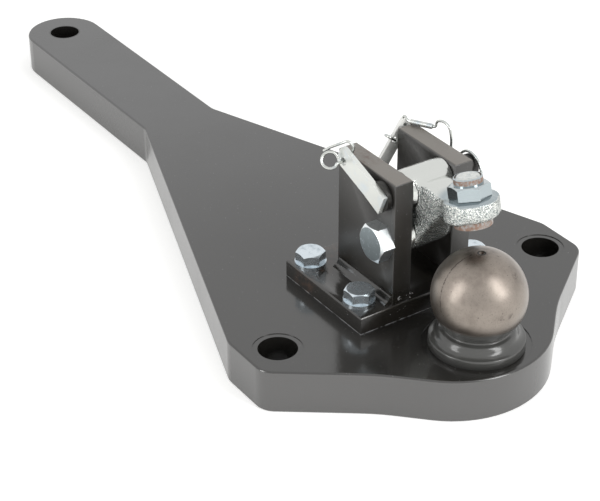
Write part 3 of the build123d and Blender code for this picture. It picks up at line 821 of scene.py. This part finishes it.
class HITCH_OT_pin(bpy.types.Operator):
    """Finish the lock pin, its handle, the tab and the wires"""
    bl_idname = "hitch.pin"
    bl_label = "Lock pin"

    def execute(self, context):
        look = context.scene.hitch_metal
        handle = plating("nickel", look.nickel, look.zinc, 0.3, patch=0.008, metallic=0.7)
        # Painted light: the far tab is lightened to make up for the cheeks' shadow.
        tab = plating("bright_nickel", look.bright, look.nickel, 0.4, patch=0.008, metallic=0.0)
        wire = plating("wire_nickel", look.wire, look.zinc_dark, patch=0.006)
        dress(handle, "lock_pin_handle")
        dress(tab, "far_tab")
        dress(wire, "handle_wire", "far_tab_link", "tether_wire", "tether_sleeve")
        dress(pin_shaded_steel(look), "lock_pin")
        return {"FINISHED"}


# Place, width and height, power in watts, and whether mirror rays see the lamp.
LAMPS = {
    "left_lamp": ((-0.214, -1.214, 0.55), (0.4, 1.0), 5.4, True),
    "right_lamp": ((0.99, 0.36, 0.82), (0.4, 1.0), 8.0, True),
    "camera_lamp": ((1.4, -0.55, 0.3), (1.2, 0.5), 8.0, False),
    "top_lamp": ((-0.5, 0.5, 1.6), (1.4, 1.4), 5.0, False),
}
LAMP_AIM = (-0.1, 0, 0.05)


def area_lamp(name, level):
    """One of the soft lamps, turned towards the middle of the plate."""
    place, size, power, mirrored = LAMPS[name]
    data = bpy.data.lights.new(name, "AREA")
    data.shape = "RECTANGLE"
    data.size, data.size_y = size
    data.energy = power * level
    lamp = bpy.data.objects.new(name, data)
    bpy.context.scene.collection.objects.link(lamp)
    lamp.location = place
    lamp.visible_glossy = mirrored
    aim = Vector(LAMP_AIM) - Vector(place)
    lamp.rotation_euler = aim.to_track_quat("-Z", "Y").to_euler()


FLOOR_GLOW = 0.6                    # what the eye and mirror rays see beyond the lamps' light
HOLE_SHADOW = (0.0125, 0.013)       # the floor doesn't glow within these radii of a hole's axis


def seen_directly(tree):
    """1 for camera rays and mirror rays, 0 for the light that falls on things."""
    path = tree.nodes.new("ShaderNodeLightPath")
    seen = tree.nodes.new("ShaderNodeMath")
    seen.operation = "MAXIMUM"
    tree.links.new(path.outputs["Is Camera Ray"], seen.inputs[0])
    tree.links.new(path.outputs["Is Glossy Ray"], seen.inputs[1])
    return seen.outputs[0]


def floor_material(colour):
    """Pale to the eye and to mirror rays, while it still takes the object's shadow."""
    floor = Nodes("floor", roughness=0.9)
    floor.finish(colour)
    tree = floor.tree
    glow = tree.nodes.new("ShaderNodeEmission")
    glow.inputs["Color"].default_value = (*colour, 1)
    below = floor.near(PLATE_HOLES, *HOLE_SHADOW, FLAT)
    floor.link(floor.ramp(below, 0, 1, FLOOR_GLOW, 0.0), glow.inputs["Strength"])
    bright = tree.nodes.new("ShaderNodeAddShader")
    floor.link(floor.bsdf.outputs[0], bright.inputs[0])
    floor.link(glow.outputs[0], bright.inputs[1])
    choose = tree.nodes.new("ShaderNodeMixShader")
    floor.link(seen_directly(tree), choose.inputs[0])
    floor.link(floor.bsdf.outputs[0], choose.inputs[1])
    floor.link(bright.outputs[0], choose.inputs[2])
    floor.link(choose.outputs[0], tree.nodes["Material Output"].inputs["Surface"])
    return floor.material


def white_world(sky):
    """White to the camera and in mirror rays, and softer as a light."""
    world = bpy.data.worlds.new("studio")
    world.use_nodes = True
    tree = world.node_tree
    background = tree.nodes["Background"]
    background.inputs["Color"].default_value = (*WHITE, 1)
    strength = tree.nodes.new("ShaderNodeMapRange")
    tree.links.new(seen_directly(tree), strength.inputs["Value"])
    strength.inputs["To Min"].default_value = sky
    strength.inputs["To Max"].default_value = 1.0
    tree.links.new(strength.outputs["Result"], background.inputs["Strength"])
    return world


CAMERA_PLACE = Vector((0.58411, -0.50154, 0.55524))
CAMERA_TURN = radians(56.138)
CAMERA_RISE = radians(31.828)
CAMERA_ROLL = radians(-0.178)
SENSOR_WIDTH = 36.0                 # millimetres
CLIP_END = 20.0                     # metres


def photo_camera(focal):
    """The camera at the place the photograph was taken from."""
    data = bpy.data.cameras.new("photo_camera")
    data.lens = focal
    data.sensor_width = SENSOR_WIDTH
    data.clip_end = CLIP_END
    camera = bpy.data.objects.new("photo_camera", data)
    bpy.context.scene.collection.objects.link(camera)
    turn = Matrix.Rotation(CAMERA_TURN, 4, "Z")
    tilt = Matrix.Rotation(pi / 2 - CAMERA_RISE, 4, "X")
    roll = Matrix.Rotation(CAMERA_ROLL, 4, "Z")
    camera.matrix_world = Matrix.Translation(CAMERA_PLACE) @ turn @ tilt @ roll
    bpy.context.scene.camera = camera


class HITCH_OT_stage(bpy.types.Operator):
    """Set up the floor, the lamps, the backdrop and the camera"""
    bl_idname = "hitch.stage"
    bl_label = "Stage"

    def execute(self, context):
        look = context.scene.hitch_stage
        context.scene.view_settings.view_transform = "Standard"
        context.scene.world = white_world(look.sky)
        mesh = bpy.data.meshes.new("floor")
        half = look.floor_size / 2
        corners = [(-half, -half, 0), (half, -half, 0), (half, half, 0), (-half, half, 0)]
        mesh.from_pydata(corners, [], [(0, 1, 2, 3)])
        mesh.materials.append(floor_material(tuple(look.floor)))
        floor = bpy.data.objects.new("floor", mesh)
        context.scene.collection.objects.link(floor)
        for name in LAMPS:
            area_lamp(name, look.level)
        photo_camera(look.focal)
        return {"FINISHED"}


class HITCH_PT_panel(bpy.types.Panel):
    """The steps, in order"""
    bl_idname = "HITCH_PT_panel"
    bl_label = "Hitch mounting plate"
    bl_space_type = "VIEW_3D"
    bl_region_type = "UI"
    bl_category = "Hitch"

    def draw(self, context):
        for operator in OPERATORS:
            self.layout.operator(operator.bl_idname)
        for group in GROUPS:
            box = self.layout.box()
            settings = getattr(context.scene, group)
            for key in settings.__annotations__:
                box.prop(settings, key)


GROUPS = {
    "hitch_paint": PaintLook,
    "hitch_ball": BallLook,
    "hitch_metal": MetalLook,
    "hitch_stage": StageLook,
}
OPERATORS = (
    HITCH_OT_plate, HITCH_OT_ball, HITCH_OT_bracket, HITCH_OT_fasteners,
    HITCH_OT_casting, HITCH_OT_pin, HITCH_OT_stage,
)


def register():
    """Makes the settings, the steps and the panel known to Blender."""
    for cls in (*GROUPS.values(), *OPERATORS, HITCH_PT_panel):
        bpy.utils.register_class(cls)
    for name, group in GROUPS.items():
        setattr(bpy.types.Scene, name, bpy.props.PointerProperty(type=group))


def unregister():
    """Takes them out again."""
    for name in GROUPS:
        delattr(bpy.types.Scene, name)
    for cls in (HITCH_PT_panel, *OPERATORS, *GROUPS.values()):
        bpy.utils.unregister_class(cls)


def main():
    """Registers the steps and runs them in order."""
    register()
    for operator in OPERATORS:
        group, name = operator.bl_idname.split(".")
        getattr(getattr(bpy.ops, group), name)()


if __name__ == "__main__":
    main()
